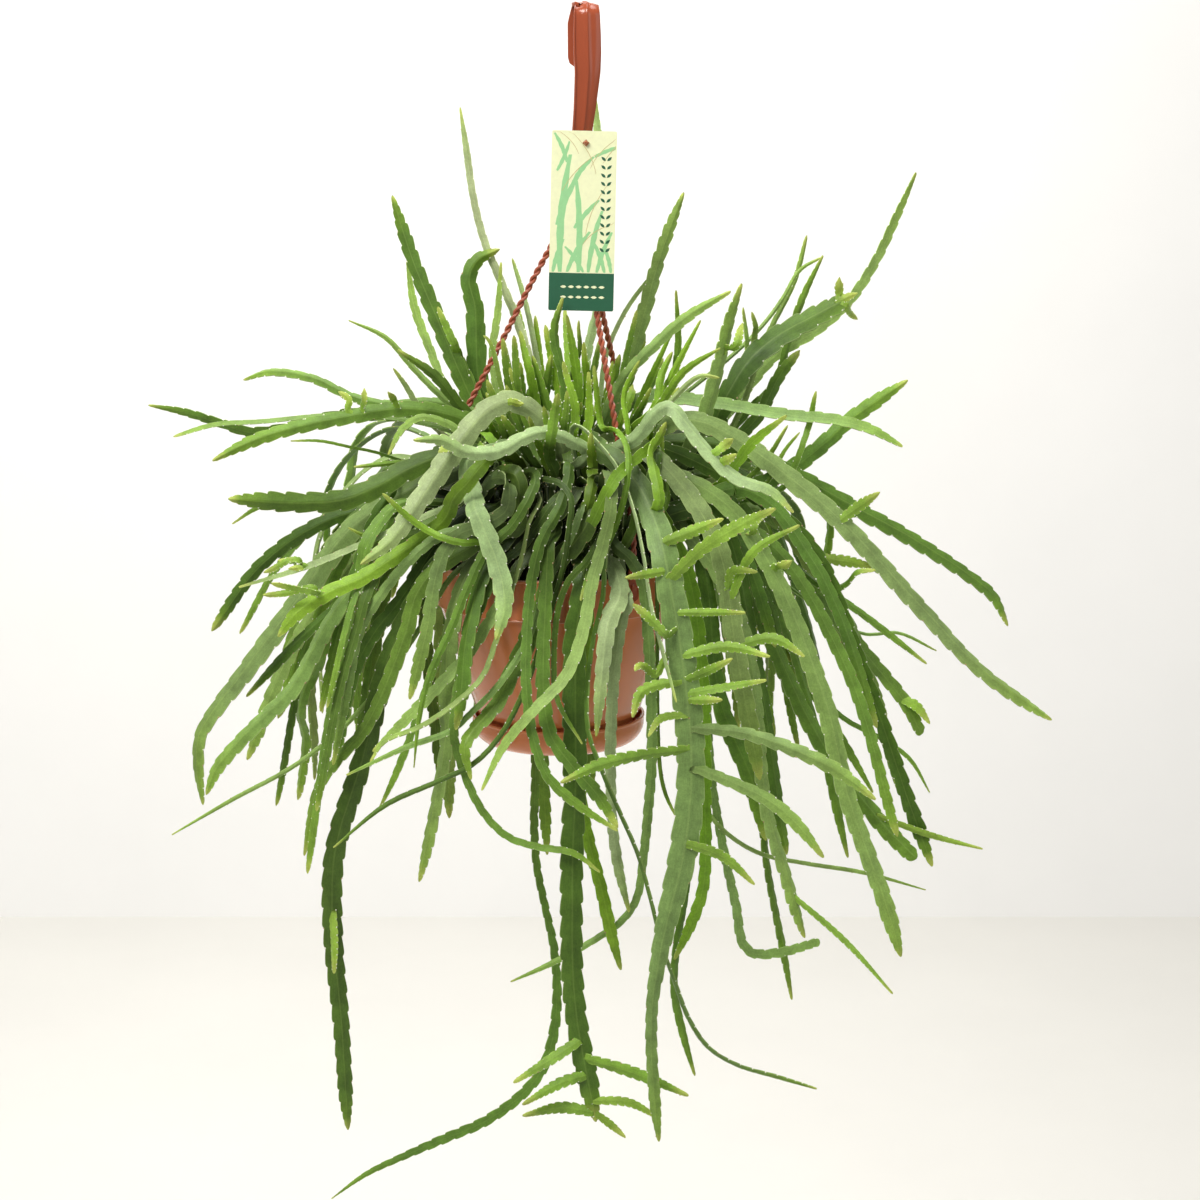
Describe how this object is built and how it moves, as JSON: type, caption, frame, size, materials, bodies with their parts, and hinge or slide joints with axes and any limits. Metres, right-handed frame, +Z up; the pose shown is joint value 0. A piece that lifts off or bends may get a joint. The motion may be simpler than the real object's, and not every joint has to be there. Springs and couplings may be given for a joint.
{
  "type": "hanging plant in pot",
  "caption": "Lepismium bolivianum, a jungle cactus with flat notched strap stems, rooted in a terracotta-coloured plastic hanging pot with saucer, hook-topped hanger and label card.",
  "frame": {"origin": "middle of the underside of the hook's crown, where the pot hangs from its support", "axes": "+Z up, +X to the right as in the picture, +Y away from the picture's camera"},
  "size_m": [0.6496, 0.4125, 0.9181],
  "materials": {
    "plastic": "satin",
    "card": "satin",
    "soil": "matte",
    "stem": "satin"
  },
  "bodies": {
    "root": {"pot": "plastic", "saucer": "plastic", "hanger": "plastic", "label_card": "card", "soil": "soil", "stem_clump_01": "stem", "stem_clump_02": "stem", "stem_clump_03": "stem", "stem_clump_04": "stem", "stem_clump_05": "stem", "stem_clump_06": "stem", "stem_clump_07": "stem", "stem_clump_08": "stem", "stem_clump_09": "stem", "stem_clump_10": "stem", "stem_clump_11": "stem", "stem_clump_12": "stem", "stem_clump_13": "stem", "stem_clump_14": "stem", "stem_clump_15": "stem", "stem_clump_16": "stem", "stem_clump_17": "stem", "stem_clump_18": "stem", "stem_clump_19": "stem", "stem_clump_20": "stem", "stem_clump_21": "stem", "stem_clump_22": "stem", "stem_clump_23": "stem", "stem_clump_24": "stem", "stem_clump_25": "stem", "stem_clump_26": "stem", "stem_clump_27": "stem", "stem_clump_28": "stem", "stem_clump_29": "stem", "stem_clump_30": "stem", "stem_clump_31": "stem", "stem_clump_32": "stem", "stem_clump_33": "stem", "stem_clump_34": "stem", "stem_clump_35": "stem", "stem_clump_36": "stem", "stem_clump_37": "stem", "stem_clump_38": "stem", "stem_clump_39": "stem", "stem_clump_40": "stem", "stem_clump_41": "stem", "stem_clump_42": "stem", "stem_clump_43": "stem", "stem_clump_44": "stem", "stem_clump_45": "stem", "stem_clump_46": "stem", "stem_clump_47": "stem", "stem_clump_48": "stem", "stem_clump_49": "stem", "stem_clump_50": "stem"}
  },
  "joints": []
}
